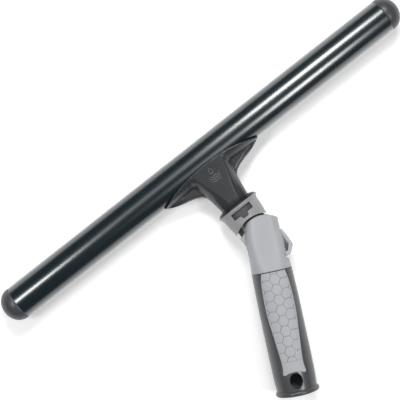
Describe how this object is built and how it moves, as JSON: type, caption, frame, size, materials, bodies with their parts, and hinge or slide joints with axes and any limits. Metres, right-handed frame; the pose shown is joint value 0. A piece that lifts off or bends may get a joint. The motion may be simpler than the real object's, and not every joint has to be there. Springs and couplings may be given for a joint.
{
  "type": "washer t-bar with swivel handle",
  "caption": "Window washer T-bar: a capped tube on a saddle bracket that clips to a swivel collar, a lever-locked forked swivel and a ribbed hand grip with a pole socket.",
  "frame": {"origin": "middle of the pole socket's mouth, at the lower end of the grip", "axes": "+X along the tube, +Z out of the front face, +Y from the grip towards the tube"},
  "size_m": [0.45, 0.2453, 0.0416],
  "materials": {
    "tube": "glossy blue-black",
    "caps": "satin moulded",
    "bracket": "satin moulded",
    "black_nylon": "matt moulded",
    "light_nylon": "fine satin moulded",
    "latch": "matt moulded",
    "handle": "satin moulded",
    "grip_rubber": "soft, honeycomb relief",
    "brake": "matt",
    "washer": "slippery white",
    "brass": "turned",
    "steel": "bright"
  },
  "bodies": {
    "handle": {"handle_body": "handle", "pole_socket_sleeve": "black_nylon", "grip_panel_front": "grip_rubber", "grip_panel_rear": "grip_rubber", "fork_shell_front": "light_nylon", "fork_shell_rear": "light_nylon", "shell_screws": "steel", "pivot_pin": "steel", "pivot_washers": "washer", "lever_pin": "steel"},
    "head": {"tube": "tube", "end_cap_left": "caps", "end_cap_right": "caps", "tube_bracket": "bracket", "backing_plate": "steel", "bracket_screws": "steel", "clip_plug": "black_nylon", "neck_screws": "steel", "latch_spring": "steel", "swivel_collar": "light_nylon", "swivel_seals": "black_nylon", "pivot_bush": "brass"},
    "lever": {"lock_lever": "light_nylon", "brake_shoe": "brake", "lever_spring": "steel"},
    "latch": {"head_latch": "latch"}
  },
  "joints": [
    {"name": "swivel", "type": "hinge", "parent": "handle", "child": "head", "pos_m": [0.0615, 0.1261, 0], "axis": [0, 0, 1], "range_deg": [-71, 19]},
    {"name": "lever_press", "type": "hinge", "parent": "handle", "child": "lever", "pos_m": [0.06697, 0.10719, 0], "axis": [0, 0, 1], "range_deg": [0, 6], "stiffness_Nm_per_rad": 0.5, "springref_deg": -5.73, "deforming": ["lever_spring"]},
    {"name": "latch_press", "type": "slide", "parent": "head", "child": "latch", "axis": [0, 0, -1], "range_m": [0, 0.0036], "stiffness_N_per_m": 1500, "springref_m": -0.001, "deforming": ["latch_spring"]}
  ]
}
